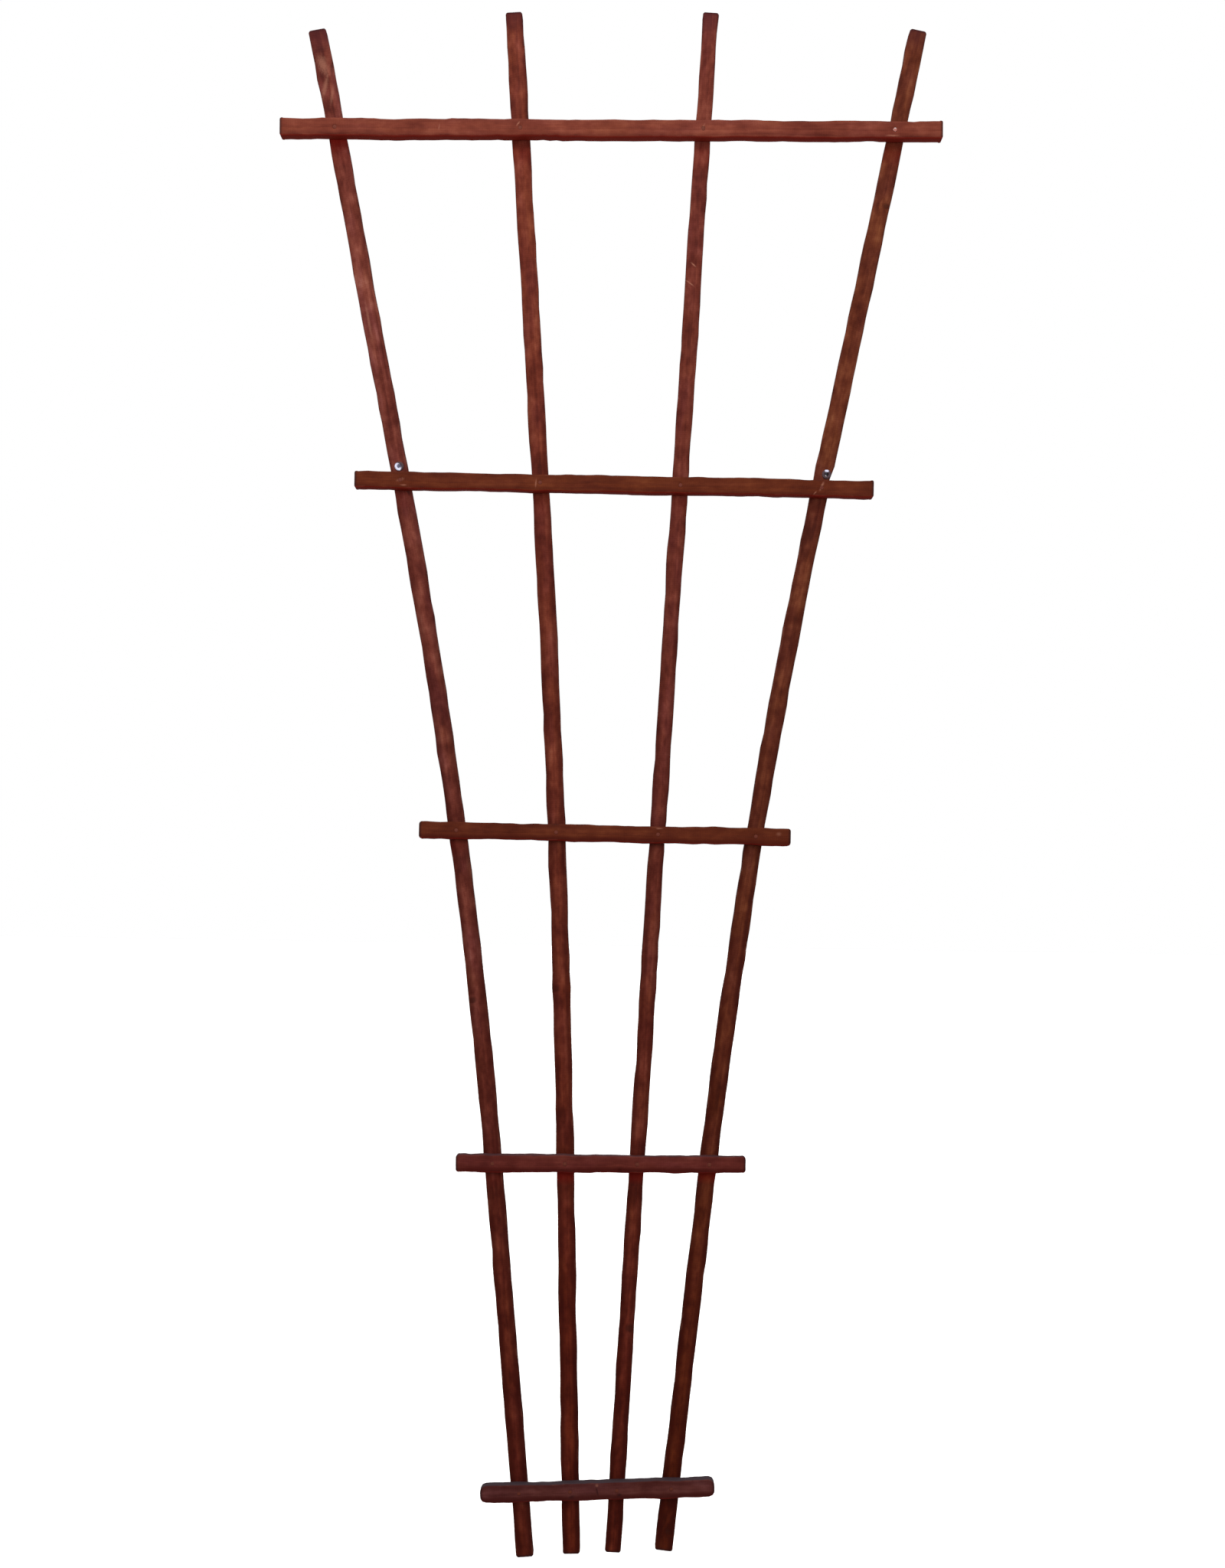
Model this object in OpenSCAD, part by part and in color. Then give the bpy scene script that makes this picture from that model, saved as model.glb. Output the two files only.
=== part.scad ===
// Fan trellis for a climbing plant.
// Four laths stand close together at the foot and are sprung apart towards the top, and five laths
// are nailed across their fronts. X runs to the right, Z up, and the front faces -Y. The backs of
// the crossbars lie on the fronts of the uprights in the plane y = 0. The origin is on the ground,
// in the middle of the feet.

/* [Laths] */
// Thickness of every lath, from front to back
lath_thickness = 12; // [8:0.5:18]
// Length of every upright
upright_length = 1830; // [1520:5:2200]
// Width of each upright, from left to right
upright_width = [19, 20, 18, 19.5]; // [15:0.5:24]
// Height of every crossbar
crossbar_width = 19; // [15:0.5:24]

/* [Fan] */
// Distance of each foot from the middle line, from left to right
foot_x = [-82.5, -27.5, 21.5, 81.5]; // [-110:0.5:110]
// Height of the middle of each foot's cut over the ground
foot_rise = [1, 5.5, 8, 11]; // [1:0.5:15]
// Lean of each upright below its bend, in degrees, to the right if over 0
foot_lean = [-5.5, -1.8, 2.7, 5.8]; // [-8:0.1:8]
// Lean of each upright above its bend, in degrees
head_lean = [-11.4, -4.1, 2.8, 11.2]; // [-15:0.1:15]
// Length of the straight foot of each upright, below its bend
straight_foot = 450; // [300:10:600]
// Length of the bend in each upright
bend_length = 820; // [600:10:1100]

/* [Foot crossbar] */
// Height of the middle of the bar
foot_bar_z = 84.5; // [50:0.5:200]
// How far the bar runs past the middle of each outer upright
foot_bar_overhang = 48.5; // [20:0.5:90]
// Slope of the bar in degrees, with its right end up if over 0
foot_bar_tilt = 2.6; // [-4:0.1:4]
// Shift of the bar to the right
foot_bar_shift = 3; // [-15:0.5:15]

/* [Lower crossbar] */
// Height of the middle of the bar
lower_bar_z = 470; // [380:1:560]
// How far the bar runs past the middle of each outer upright
lower_bar_overhang = 43; // [20:0.5:90]
// Slope of the bar in degrees
lower_bar_tilt = 0.6; // [-4:0.1:4]
// Shift of the bar to the right
lower_bar_shift = 0; // [-15:0.5:15]

/* [Middle crossbar] */
// Height of the middle of the bar
middle_bar_z = 860; // [760:1:960]
// How far the bar runs past the middle of each outer upright
middle_bar_overhang = 42.5; // [20:0.5:90]
// Slope of the bar in degrees
middle_bar_tilt = -0.3; // [-4:0.1:4]
// Shift of the bar to the right
middle_bar_shift = -1.5; // [-15:0.5:15]

/* [Upper crossbar] */
// Height of the middle of the bar
upper_bar_z = 1272; // [1160:1:1370]
// How far the bar runs past the middle of each outer upright
upper_bar_overhang = 57.5; // [20:0.5:90]
// Slope of the bar in degrees
upper_bar_tilt = -0.2; // [-4:0.1:4]
// Shift of the bar to the right
upper_bar_shift = 3.5; // [-15:0.5:15]

/* [Top crossbar] */
// How far the middle of the bar is below the head of the left outer upright
top_bar_drop = 117.5; // [60:0.5:200]
// How far the bar runs past the middle of each outer upright
top_bar_overhang = 58.5; // [20:0.5:90]
// Slope of the bar in degrees
top_bar_tilt = 0.6; // [-2:0.1:2]
// Shift of the bar to the right
top_bar_shift = -5.5; // [-15:0.5:15]

/* [Nails] */
// Diameter of a nail's shank
nail_shank_d = 1.8; // [1.2:0.1:3]
// Diameter of a nail's flat head
nail_head_d = 4.6; // [3.5:0.1:7]
// Thickness of a nail's head
nail_head_thickness = 0.8; // [0.5:0.1:1.5]
// Depth of a head's top below the face of the crossbar
nail_head_sink = 0.5; // [0:0.1:1.5]
// Wood left between a nail's point and the back of the upright
nail_point_cover = 2; // [1:0.5:4]
// Length of the cone at a nail's point
nail_point_length = 2; // [1:0.5:4]
// Room round a nail in its hole
nail_fit = 0.05; // [0.02:0.01:0.2]
// How far each nail of the top crossbar, from the left, is driven to the right of its crossing
top_nail_stray = [0, 0, 0, -4]; // [-5:0.5:5]

/* [Fixing eyelets] */
// Diameter of the hole that takes a wall screw
fixing_hole_d = 4.5; // [3:0.5:6]
// Diameter of the eyelet's barrel, which fills the hole bored in the upright
eyelet_barrel_d = 6; // [5:0.5:8]
// Diameter of the eyelet's flange
eyelet_flange_d = 11; // [9:0.5:14]
// Height of the flange over the face of the upright
eyelet_flange_height = 1.5; // [0.8:0.1:3]
// Height of each eyelet over the middle of the upper crossbar
fixing_rise = 19; // [17:0.5:60]
// How far the left and the right eyelets are bored off the middle of their uprights
fixing_offset = [1, 3]; // [-3:0.5:3]
// Room round an eyelet's barrel in the upright
eyelet_fit = 0.05; // [0.02:0.01:0.2]

/* [Hidden] */

UPRIGHTS = ["left_outer", "left_inner", "right_inner", "right_outer"];
BARS = ["foot", "lower", "middle", "upper", "top"];
SIDES = ["left", "right"];
UPPER = 3;
TOP = 4;

function upright_node(u) = str(UPRIGHTS[u], "_upright");
function crossbar_node(b) = str(BARS[b], "_crossbar");
function nail_node(b, u) = str(BARS[b], "_nail_", u + 1);
function eyelet_node(side) = str(SIDES[side], "_fixing_eyelet");

bar_overhang = [
    foot_bar_overhang, lower_bar_overhang, middle_bar_overhang, upper_bar_overhang, top_bar_overhang
];
bar_tilt = [foot_bar_tilt, lower_bar_tilt, middle_bar_tilt, upper_bar_tilt, top_bar_tilt];
bar_shift = [foot_bar_shift, lower_bar_shift, middle_bar_shift, upper_bar_shift, top_bar_shift];

// How far a cut runs past the face that it opens.
cut_past = 1;
// Number of short chords that make up the bend in an upright.
bend_chords = 20;
// Smoothness of every round piece.
round_fn = 48;

// --- Where the laths run -------------------------------------------------------------------------

// The stations along an upright: its foot, the ends of the chords of its bend, and its head.
function stations() = concat(
    [0],
    [for (i = [0:bend_chords]) straight_foot + bend_length * i / bend_chords],
    [upright_length]
);

// The lean of an upright at a distance s along it, which changes evenly through the bend.
function lean_at(u, s) =
    foot_lean[u] + (head_lean[u] - foot_lean[u]) * min(1, max(0, (s - straight_foot) / bend_length));

// The step along an upright from one distance to the next.
function step_along(u, from, to) =
    let (lean = lean_at(u, (from + to) / 2)) (to - from) * [sin(lean), cos(lean)];

// The points [x, z] of an upright's middle line, from its foot up to station k.
function middle_line(u, k) =
    k == 0
        ? [[foot_x[u], foot_rise[u]]]
        : let (below = middle_line(u, k - 1), s = stations())
            concat(below, [below[k - 1] + step_along(u, s[k - 1], s[k])]);

MIDDLE_LINES = [for (u = [0:3]) middle_line(u, bend_chords + 2)];

// The height of an upright's head, and of the middle of each crossbar.
function head_z(u) = MIDDLE_LINES[u][bend_chords + 2].y;
bar_z = [foot_bar_z, lower_bar_z, middle_bar_z, upper_bar_z, head_z(0) - top_bar_drop];

// The x of an upright's middle line at the height z.
function upright_x(u, z) = lookup(z, [for (point = MIDDLE_LINES[u]) [point.y, point.x]]);

// The middle of a crossbar, and its length from end to end.
function bar_middle_x(b) =
    (upright_x(0, bar_z[b]) + upright_x(3, bar_z[b])) / 2 + bar_shift[b];
function bar_length(b) =
    upright_x(3, bar_z[b]) - upright_x(0, bar_z[b]) + 2 * bar_overhang[b];

// The height of a crossbar's middle line at x.
function bar_z_at(b, x) = bar_z[b] + (x - bar_middle_x(b)) * tan(bar_tilt[b]);

// The point [x, z] where the middle lines of a crossbar and an upright cross.
function crossing(b, u) =
    let (near_z = bar_z_at(b, upright_x(u, bar_z[b])), x = upright_x(u, near_z)) [x, bar_z_at(b, x)];

// The point [x, z] of an eyelet, on the outer upright of its side.
function eyelet_point(side) =
    let (u = 3 * side, z = crossing(UPPER, u).y + fixing_rise)
        [upright_x(u, z) + fixing_offset[side], z];

// --- Nails and the holes that they fill ----------------------------------------------------------

nail_length = 2 * lath_thickness - nail_head_sink - nail_point_cover;

// Puts its children where a nail is driven, with z = 0 on the crossbar's front face and +Z into
// the wood.
module at_nail(b, u) {
    x = crossing(b, u).x + (b == TOP ? top_nail_stray[u] : 0);
    translate([x, -lath_thickness, bar_z_at(b, x)])
        rotate([-90, 0, 0])
            children();
}

module nail(b, u) {
    shank_r = nail_shank_d / 2;
    color([0.42, 0.24, 0.19])
        at_nail(b, u)
            translate([0, 0, nail_head_sink]) {
                cylinder(h = nail_head_thickness, d = nail_head_d, $fn = round_fn);
                cylinder(h = nail_length - nail_point_length, r = shank_r, $fn = round_fn);
                translate([0, 0, nail_length - nail_point_length])
                    cylinder(h = nail_point_length, r1 = shank_r, r2 = shank_r / 4, $fn = round_fn);
            }
}

module nail_hole(b, u) {
    at_nail(b, u) {
        translate([0, 0, -cut_past])
            cylinder(
                h = cut_past + nail_head_sink + nail_head_thickness,
                d = nail_head_d + 2 * nail_fit,
                $fn = round_fn
            );
        cylinder(
            h = nail_head_sink + nail_length + nail_fit,
            d = nail_shank_d + 2 * nail_fit,
            $fn = round_fn
        );
    }
}

// --- Eyelets for the wall screws -----------------------------------------------------------------

// Puts its children on an eyelet's middle, with z = 0 on the upright's back face and +Z to the front.
module at_eyelet(side) {
    point = eyelet_point(side);
    translate([point.x, lath_thickness, point.y])
        rotate([90, 0, 0])
            children();
}

module fixing_eyelet(side) {
    rim = eyelet_flange_height / 2;
    color([0.78, 0.78, 0.82])
        at_eyelet(side)
            difference() {
                union() {
                    cylinder(h = lath_thickness + rim, d = eyelet_barrel_d, $fn = round_fn);
                    translate([0, 0, lath_thickness])
                        cylinder(h = rim, d = eyelet_flange_d, $fn = round_fn);
                    translate([0, 0, lath_thickness + rim])
                        cylinder(
                            h = rim,
                            d1 = eyelet_flange_d,
                            d2 = (eyelet_flange_d + eyelet_barrel_d) / 2,
                            $fn = round_fn
                        );
                }
                translate([0, 0, -cut_past])
                    cylinder(
                        h = lath_thickness + eyelet_flange_height + 2 * cut_past,
                        d = fixing_hole_d,
                        $fn = round_fn
                    );
            }
}

module eyelet_hole(side) {
    at_eyelet(side)
        translate([0, 0, -cut_past])
            cylinder(
                h = lath_thickness + 2 * cut_past,
                d = eyelet_barrel_d + 2 * eyelet_fit,
                $fn = round_fn
            );
}

// --- Laths ---------------------------------------------------------------------------------------

// The points of an upright's middle line, moved sideways and square to the lath.
function edge_line(u, sideways) =
    let (line = MIDDLE_LINES[u], s = stations())
        [for (k = [0:len(line) - 1])
            let (lean = lean_at(u, s[k])) line[k] + sideways * [cos(lean), -sin(lean)]];

module upright(u) {
    left_edge = edge_line(u, -upright_width[u] / 2);
    right_edge = edge_line(u, upright_width[u] / 2);
    last = len(left_edge) - 1;
    color([0.42, 0.19, 0.13])
        difference() {
            translate([0, lath_thickness, 0])
                rotate([90, 0, 0])
                    linear_extrude(lath_thickness)
                        polygon(concat(left_edge, [for (k = [last:-1:0]) right_edge[k]]));
            for (b = [0:4])
                nail_hole(b, u);
            if (u == 0)
                eyelet_hole(0);
            if (u == 3)
                eyelet_hole(1);
        }
}

module crossbar(b) {
    color([0.5, 0.22, 0.16])
        difference() {
            translate([bar_middle_x(b), -lath_thickness / 2, bar_z[b]])
                rotate([0, -bar_tilt[b], 0])
                    cube([bar_length(b), lath_thickness, crossbar_width], center = true);
            for (u = [0:3])
                nail_hole(b, u);
        }
}

// --- The trellis ---------------------------------------------------------------------------------

for (u = [0:3])
    upright(u);
for (b = [0:4])
    crossbar(b);
for (b = [0:4], u = [0:3])
    nail(b, u);
for (side = [0:1])
    fixing_eyelet(side);
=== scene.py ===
import math
import random

import bmesh
import bpy
import numpy as np
from mathutils import Matrix, Vector, noise


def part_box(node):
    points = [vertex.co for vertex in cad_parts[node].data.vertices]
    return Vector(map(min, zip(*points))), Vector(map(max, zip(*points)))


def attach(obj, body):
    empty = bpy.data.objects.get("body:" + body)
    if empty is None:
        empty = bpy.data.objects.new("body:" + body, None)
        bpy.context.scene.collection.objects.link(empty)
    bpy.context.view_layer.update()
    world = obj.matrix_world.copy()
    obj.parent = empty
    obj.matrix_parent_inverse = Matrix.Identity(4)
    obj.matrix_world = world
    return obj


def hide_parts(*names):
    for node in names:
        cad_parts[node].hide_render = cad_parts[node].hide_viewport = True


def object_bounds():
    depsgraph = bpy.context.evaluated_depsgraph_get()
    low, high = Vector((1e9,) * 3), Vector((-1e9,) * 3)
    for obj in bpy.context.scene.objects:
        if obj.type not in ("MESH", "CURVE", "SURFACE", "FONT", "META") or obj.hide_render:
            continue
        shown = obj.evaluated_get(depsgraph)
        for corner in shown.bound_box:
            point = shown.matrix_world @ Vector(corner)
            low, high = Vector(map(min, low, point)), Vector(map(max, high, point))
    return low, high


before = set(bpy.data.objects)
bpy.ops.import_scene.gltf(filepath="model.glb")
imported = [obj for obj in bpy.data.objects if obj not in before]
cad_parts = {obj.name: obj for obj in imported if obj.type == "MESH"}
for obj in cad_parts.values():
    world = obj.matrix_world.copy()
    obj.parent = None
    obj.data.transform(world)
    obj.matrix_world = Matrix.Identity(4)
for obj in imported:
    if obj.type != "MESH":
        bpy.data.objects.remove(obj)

cad_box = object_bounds()

# --- Uprights --------------------------------------------------------------------------------------
# Four laths sawn from softwood and dipped in a thin red-brown stain. They stand close together at the
# foot, go in the soil there, and are sprung apart into a fan. Saw marks, grain, knots and bruised
# edges show through the stain.

UPRIGHTS = ("left_outer", "left_inner", "right_inner", "right_outer")
CROSSBARS = ("foot", "lower", "middle", "upper", "top")

CUTS_ALONG = 100          # cuts across a lath, of any length, between its ends. Subdivide makes no more
END_SECTIONS = (0.0008, 0.0016, 0.0026, 0.004)    # cuts near each end, measured back from it
CUTS_ACROSS = (-0.32, -0.12, 0.1, 0.3)    # lines along its front and back, in shares of its width
CUTS_THROUGH = (-0.2, 0.18)               # lines along its sides, in shares of its thickness
ARRIS = 0.0018            # radius of an eased long edge
CUT_EDGE = 0.0005         # radius of the edge round a saw-cut end
LATH_WIDTH = 0.019        # nominal size, which the grain is laid out on
LATH_THICKNESS = 0.012
LATH_SPACING = 3.0        # how far apart the laths lie in the tree that the grain comes from


class Run:
    """Where a lath runs: its middle line in the plane of the trellis, read off its CAD node."""

    SIDE_AREA = 2e-5      # a side of a lath is made of faces larger than this, unlike its holes
    SAME_POINT = 0.001    # corners nearer along the lath than this are one corner
    SEARCH_STEP = 0.0002

    def __init__(self, node, along, across):
        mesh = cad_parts[node].data
        edges = []
        for sign in (-1, 1):
            corners = sorted(
                (mesh.vertices[v].co[along], mesh.vertices[v].co[across])
                for face in mesh.polygons
                if face.normal[across] * sign > 0.9 and face.area > self.SIDE_AREA
                for v in face.vertices
            )
            line = corners[:1]
            for corner in corners:
                if corner[0] - line[-1][0] > self.SAME_POINT:
                    line.append(corner)
            edges.append(np.array(line))
        low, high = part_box(node)
        self.thickness = high.y - low.y
        self.depth = (high.y + low.y) / 2
        middle = (edges[0] + edges[1]) / 2
        self.points = middle if along == 0 else middle[:, ::-1]
        self.width = float(np.linalg.norm(edges[1] - edges[0], axis=1).mean())
        steps = np.diff(self.points, axis=0)
        lengths = np.linalg.norm(steps, axis=1)
        self.marks = np.concatenate(([0.0], np.cumsum(lengths)))
        self.length = float(self.marks[-1])
        ways = steps / lengths[:, None]
        self.ways = np.vstack((ways[:1], (ways[1:] + ways[:-1]) / 2, ways[-1:]))

    def middle_and_way(self, s):
        """The point of the middle line at each distance s along it, and the direction there."""
        point = np.stack([np.interp(s, self.marks, self.points[:, k]) for k in (0, 1)], axis=-1)
        way = np.stack([np.interp(s, self.marks, self.ways[:, k]) for k in (0, 1)], axis=-1)
        return point, way / np.linalg.norm(way, axis=-1, keepdims=True)

    def place(self, co):
        """The places in the trellis of points (along, sideways, to the front) of a straight lath."""
        point, way = self.middle_and_way(co[:, 0])
        beyond = co[:, 0] - np.clip(co[:, 0], 0, self.length)
        point = point + way * beyond[:, None]
        sideways = np.stack((-way[:, 1], way[:, 0]), axis=-1)
        flat = point + sideways * co[:, 1:2]
        return np.stack((flat[:, 0], self.depth - co[:, 2], flat[:, 1]), axis=-1)

    def locate(self, x, z):
        """How far along and sideways on the lath the point (x, z) of the trellis lies."""
        s = np.linspace(0, self.length, int(self.length / self.SEARCH_STEP))
        point, way = self.middle_and_way(s)
        away = np.array((x, z)) - point
        k = int(np.argmin((away**2).sum(axis=1)))
        return float(s[k]), float(-way[k, 1] * away[k, 0] + way[k, 0] * away[k, 1])


def select_edges(wanted):
    """In edit mode, selects just the edges that the function wanted says yes to."""
    mesh = bmesh.from_edit_mesh(bpy.context.object.data)
    for part in (*mesh.verts, *mesh.edges, *mesh.faces):
        part.select = False
    for edge in mesh.edges:
        edge.select_set(wanted(edge))
    bmesh.update_edit_mesh(bpy.context.object.data)


def sawn_blank(name, run):
    """A straight lath along +X from 0 to its length, its edges eased, cut into sections."""
    size = Vector((run.length, run.width, run.thickness))
    bpy.ops.object.select_all(action="DESELECT")
    bpy.ops.mesh.primitive_cube_add(size=1, location=(run.length / 2, 0, 0), scale=size)
    lath = bpy.context.object
    lath.name = name
    bpy.ops.object.transform_apply()
    bpy.ops.object.mode_set(mode="EDIT")
    for axis, shares in ((1, CUTS_ACROSS), (2, CUTS_THROUGH)):
        for share in shares:
            plane = Vector((0, 0, 0))
            plane[axis] = size[axis] * share
            normal = Vector((0, 0, 0))
            normal[axis] = 1
            bpy.ops.mesh.select_all(action="SELECT")
            bpy.ops.mesh.bisect(plane_co=plane, plane_no=normal)
    for back in END_SECTIONS:
        for x in (back, run.length - back):
            bpy.ops.mesh.select_all(action="SELECT")
            bpy.ops.mesh.bisect(plane_co=(x, 0, 0), plane_no=(1, 0, 0))

    def is_long(edge):
        return abs(edge.verts[0].co.x - edge.verts[1].co.x) > run.length / 2

    def is_sharp(edge):
        return edge.calc_face_angle(0) > math.radians(60)

    select_edges(lambda edge: is_long(edge) and is_sharp(edge))
    bpy.ops.mesh.bevel(offset=ARRIS, segments=3, affect="EDGES")
    select_edges(lambda edge: not is_long(edge) and is_sharp(edge))
    bpy.ops.mesh.bevel(offset=CUT_EDGE, segments=2, affect="EDGES")
    select_edges(is_long)
    bpy.ops.mesh.subdivide(number_cuts=CUTS_ALONG)
    bpy.ops.object.mode_set(mode="OBJECT")
    return lath


def turned(name, profile, sides):
    """A round piece on the Z axis, built ring by ring from (radius, height) pairs."""
    radius, height = profile[0]
    bpy.ops.object.select_all(action="DESELECT")
    bpy.ops.mesh.primitive_circle_add(
        vertices=sides, radius=radius, fill_type="NGON", location=(0, 0, height)
    )
    piece = bpy.context.object
    piece.name = name
    bpy.ops.object.transform_apply()
    bpy.ops.object.mode_set(mode="EDIT")
    bpy.ops.mesh.select_all(action="SELECT")
    for (radius, height), (next_radius, next_height) in zip(profile, profile[1:]):
        rise = (0, 0, next_height - height)
        grow = next_radius / radius
        bpy.ops.mesh.extrude_region_move(TRANSFORM_OT_translate={"value": rise})
        bpy.ops.transform.resize(value=(grow, grow, 1), center_override=(0, 0, next_height))
    bpy.ops.mesh.select_all(action="SELECT")
    bpy.ops.mesh.normals_make_consistent(inside=False)
    bpy.ops.object.mode_set(mode="OBJECT")
    return piece


def bored(piece, cutters):
    """Cuts the shapes of the cutters out of a piece, and takes the cutters away."""
    bpy.ops.object.select_all(action="DESELECT")
    for cutter in cutters:
        cutter.select_set(True)
    bpy.context.view_layer.objects.active = cutters[0]
    if len(cutters) > 1:
        bpy.ops.object.join()
    tool = bpy.context.object
    bpy.ops.object.select_all(action="DESELECT")
    piece.select_set(True)
    bpy.context.view_layer.objects.active = piece
    cut = piece.modifiers.new("bore", "BOOLEAN")
    cut.object = tool
    cut.solver = "EXACT"
    bpy.ops.object.modifier_apply(modifier=cut.name)
    bpy.data.objects.remove(tool)


SHANK_HOLE = 0.00095      # radii of the holes for a nail's shank and head
HEAD_HOLE = 0.0024
HEAD_SINK = 0.0005        # how far a head lies below the face
HEAD_THICKNESS = 0.0008
DENT_RADIUS = 0.0038      # the dish that the hammer crushes round a nail's head
NAIL_POINT_COVER = 0.0019    # wood left behind a nail's point
PAST = 0.001              # how far a cutter runs past the face that it opens


def shank_bore(run):
    """The cutter for a nail's hole in an upright, from its front towards its back."""
    half = run.thickness / 2
    return turned("shank_bore", [(SHANK_HOLE, NAIL_POINT_COVER - half), (SHANK_HOLE, half + PAST)], 16)


def nail_places(run, nails):
    """Where each nail of a lath goes through it, as (along, sideways)."""
    centres = [sum(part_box(nail), Vector()) / 2 for nail in nails]
    return [run.locate(centre.x, centre.z) for centre in centres]


def soft_noise(points, scale, seed):
    """Smooth noise from about -1 to 1 at each point, stretched by scale along each axis."""
    stretched = points * np.array(scale) + np.array((seed * 7.3, seed * 3.1, seed * 5.7))
    return np.array([noise.noise(point) for point in stretched.tolist()])


EDGE_WAVES = (            # lengthwise scale, crosswise scale, seed, height
    (15, 70, 11.1, 0.0010),
    (38, 70, 23.7, 0.0009),
    (100, 90, 31.3, 0.0006),
)
FACE_WAVE = 0.0002
ROUGHNESS = 0.00009       # height of the sawn fibre, in and out
ROUGH_OUT = 0.00003       # the most that it stands proud of the face
SMOOTH_RIM = 0.003        # the wood round a hole that is left smooth
CHIP_REACH = 0.0045       # how far in from the edge a chip goes


def finish_lath(lath, run, number, tint, swell, worn_corner, chips, holes, painted_shade_at):
    """Makes a straight blank into the real lath: saw waves, bruised edges and, last, its bend.

    tint is how this lath takes the stain, swell how far the damp has swollen each long edge, and
    worn_corner the radius that its corners are worn to. chips are (along, sideways sign, front sign,
    length, depth), with a front sign of 0 where the whole side is broken away. holes are (along,
    sideways), and the last argument is a function of the points that says how much painted shade
    lies there, from 0 to 1.
    """
    mesh = lath.data
    count = len(mesh.vertices)
    co = np.empty(count * 3)
    mesh.vertices.foreach_get("co", co)
    co = co.reshape(-1, 3)
    normals = np.empty(count * 3)
    mesh.vertices.foreach_get("normal", normals)
    normals = normals.reshape(-1, 3)

    grain = co * (1, LATH_WIDTH / run.width, LATH_THICKNESS / run.thickness)
    grain[:, 0] += number * LATH_SPACING
    kept = mesh.attributes.new("grain", "FLOAT_VECTOR", "POINT")
    kept.data.foreach_set("vector", grain.ravel())
    stain = mesh.attributes.new("tint", "FLOAT_VECTOR", "POINT")
    stain.data.foreach_set("vector", np.tile(tint, count))
    from_end = np.minimum(co[:, 0], run.length - co[:, 0])
    to_end = mesh.attributes.new("to_end", "FLOAT", "POINT")
    to_end.data.foreach_set("value", from_end)
    # how much painted shade lies at each point
    pool = mesh.attributes.new("pool", "FLOAT", "POINT")
    pool.data.foreach_set("value", painted_shade_at(co))

    half = np.array((run.width / 2, run.thickness / 2))
    share = co[:, 1:] / half
    edge = co * (1, 1, 0.3)
    wave = np.full(count, swell)
    for lengthwise, crosswise, seed, amount in EDGE_WAVES:
        wave += soft_noise(edge, (lengthwise, crosswise, crosswise), number + seed) * amount
    moved = co.copy()
    reach = np.clip(worn_corner - from_end, 0, worn_corner)
    corner_round = worn_corner - np.sqrt(worn_corner**2 - reach**2)
    moved[:, 1] += share[:, 0] * np.abs(share[:, 0]) * wave - share[:, 0] * corner_round
    moved[:, 2] += share[:, 1] * soft_noise(co * (1, 1, 0), (30, 60, 0), number + 5.5) * FACE_WAVE
    rough = soft_noise(co, (170, 420, 420), number + 37.9) * ROUGHNESS
    near_hole = np.ones(count)
    for s, u in holes:
        away = np.hypot(co[:, 0] - s, co[:, 1] - u)
        near_hole = np.minimum(near_hole, np.clip((away - SMOOTH_RIM) / SMOOTH_RIM, 0, 1))
    moved += normals * (np.minimum(rough, ROUGH_OUT) * near_hole)[:, None]

    corner = np.linalg.norm(half - np.abs(co[:, 1:]), axis=1)
    for s, side, front, length, depth in chips:
        within = np.clip(1 - ((co[:, 0] - s) / (length / 2)) ** 2, 0, 1) ** 0.6
        this_edge = (co[:, 1] * side > 0) & (co[:, 2] * front >= 0)
        jagged = 1 + 0.5 * soft_noise(co, (900, 300, 300), s * 50)
        inwards = corner if front else half[0] - np.abs(co[:, 1])
        bite = depth * within * this_edge * np.clip(1 - inwards / CHIP_REACH, 0, 1) * jagged
        moved[:, 1] -= side * bite
        moved[:, 2] -= front * bite * 0.8

    mesh.vertices.foreach_set("co", run.place(moved).ravel())
    mesh.update()
    bpy.ops.object.select_all(action="DESELECT")
    lath.select_set(True)
    bpy.context.view_layer.objects.active = lath
    bpy.ops.object.shade_smooth_by_angle(angle=math.radians(35))


def worn_edges(run, number, how_many):
    """Small random chips along the four edges of a lath."""
    draw = random.Random(number * 101 + 7)
    return [
        (
            draw.uniform(0.01, run.length - 0.01),
            draw.choice((-1, 1)),
            draw.choice((-1, 1)),
            draw.uniform(0.005, 0.016),
            draw.uniform(0.0002, 0.0006),
        )
        for _ in range(how_many)
    ]


class Value:
    """A value at a node's socket. Arithmetic on it adds the Math nodes that work it out."""

    def __init__(self, finish, socket):
        self.finish = finish
        self.socket = socket

    def output(self, name):
        """Another output of the node that this value comes from."""
        return Value(self.finish, self.socket.node.outputs[name])

    def maths(self, operation, *others):
        return self.finish.node("ShaderNodeMath", {"operation": operation}, (self, *others))

    def __add__(self, other):
        return self.maths("ADD", other)

    def __sub__(self, other):
        return self.maths("SUBTRACT", other)

    def __mul__(self, other):
        return self.maths("MULTIPLY", other)

    def __truediv__(self, other):
        return self.maths("DIVIDE", other)

    def __pow__(self, other):
        return self.maths("POWER", other)

    def __rsub__(self, other):
        return self * -1 + other

    def __abs__(self):
        return self.maths("ABSOLUTE")

    __radd__ = __add__
    __rmul__ = __mul__

    def root(self):
        return self.maths("SQRT")

    def rise(self, low, high):
        """0 below low, 1 above high, and a smooth step between. low may be the larger one."""
        settings = {"interpolation_type": "SMOOTHSTEP"}
        sockets = {"Value": self, "From Min": low, "From Max": high}
        return self.finish.node("ShaderNodeMapRange", settings, sockets)


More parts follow.
